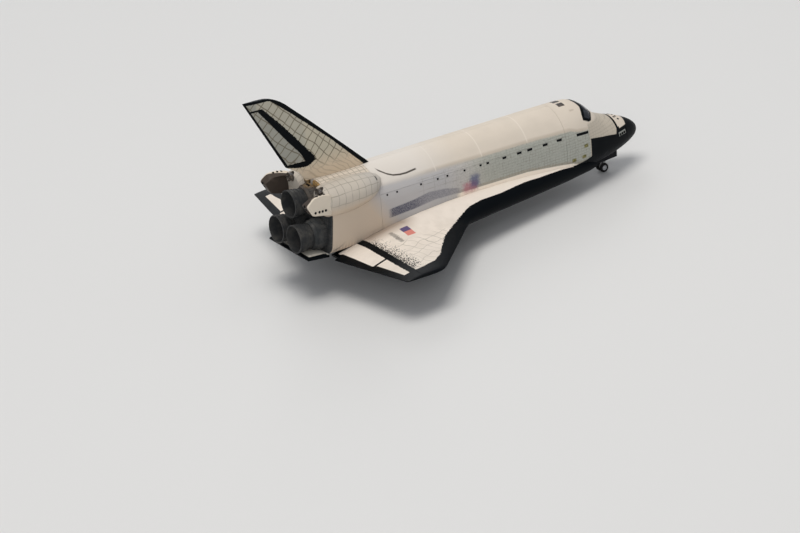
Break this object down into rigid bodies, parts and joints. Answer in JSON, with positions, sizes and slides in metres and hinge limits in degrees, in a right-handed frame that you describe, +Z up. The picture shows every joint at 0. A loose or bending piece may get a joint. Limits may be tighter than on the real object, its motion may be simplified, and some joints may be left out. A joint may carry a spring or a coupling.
{
  "type": "space shuttle orbiter display model",
  "caption": "Small-scale winged orbiter on its wheels: round fuselage, delta wings, fin with rudder, tail pods, engine bells, and twin wheels that turn freely.",
  "frame": {"origin": "centre of the model's box in plan, at the level that its wheels stand on", "axes": "+X from the tail to the nose, +Y from the right wing tip to the left wing tip, +Z up"},
  "size_m": [0.0914, 0.0594, 0.0436],
  "materials": {
    "white_paint": "satin cream-white paint on die-cast metal",
    "tile_paint": "satin grey-cream paint with a fine printed tile grid",
    "black_paint": "satin black paint",
    "base_plastic": "matt dark grey plastic",
    "bell_plastic": "satin dark brown-grey plastic",
    "bright_metal": "dark metallic",
    "gear_paint": "light grey paint",
    "wheel_plastic": "matt black plastic tyres"
  },
  "bodies": {
    "airframe": {"nose_cap": "black_paint", "forward_fuselage": "tile_paint", "mid_fuselage": "tile_paint", "payload_door_left": "white_paint", "payload_door_right": "white_paint", "aft_fuselage": "tile_paint", "engine_heat_shield": "base_plastic", "body_flap": "black_paint", "fin": "tile_paint", "rudder": "tile_paint", "wing_left": "white_paint", "wing_right": "white_paint", "elevon_inner_left": "white_paint", "elevon_inner_right": "white_paint", "elevon_outer_left": "white_paint", "elevon_outer_right": "white_paint", "oms_pod_left": "tile_paint", "oms_pod_right": "tile_paint", "rcs_housing_left": "white_paint", "rcs_housing_right": "white_paint", "oms_nozzle_left": "bright_metal", "oms_nozzle_right": "bright_metal", "main_engine_upper": "bell_plastic", "main_engine_left": "bell_plastic", "main_engine_right": "bell_plastic", "nose_gear_leg": "gear_paint", "nose_gear_door_left": "black_paint", "nose_gear_door_right": "black_paint", "main_gear_leg_left": "gear_paint", "main_gear_leg_right": "gear_paint", "main_gear_door_left": "black_paint", "main_gear_door_right": "black_paint"},
    "nose_wheel_pair": {"nose_wheels": "wheel_plastic"},
    "main_wheel_pair_left": {"main_wheels_left": "wheel_plastic"},
    "main_wheel_pair_right": {"main_wheels_right": "wheel_plastic"}
  },
  "joints": [
    {"name": "nose_wheel_spin", "type": "hinge", "parent": "airframe", "child": "nose_wheel_pair", "pos_m": [0.03645, 0, 0.00101], "axis": [0, 1, 0], "continuous": true},
    {"name": "main_wheel_spin_left", "type": "hinge", "parent": "airframe", "child": "main_wheel_pair_left", "pos_m": [-0.01404, 0.00864, 0.00141], "axis": [0, 1, 0], "continuous": true},
    {"name": "main_wheel_spin_right", "type": "hinge", "parent": "airframe", "child": "main_wheel_pair_right", "pos_m": [-0.01404, -0.00864, 0.00141], "axis": [0, 1, 0], "continuous": true}
  ]
}
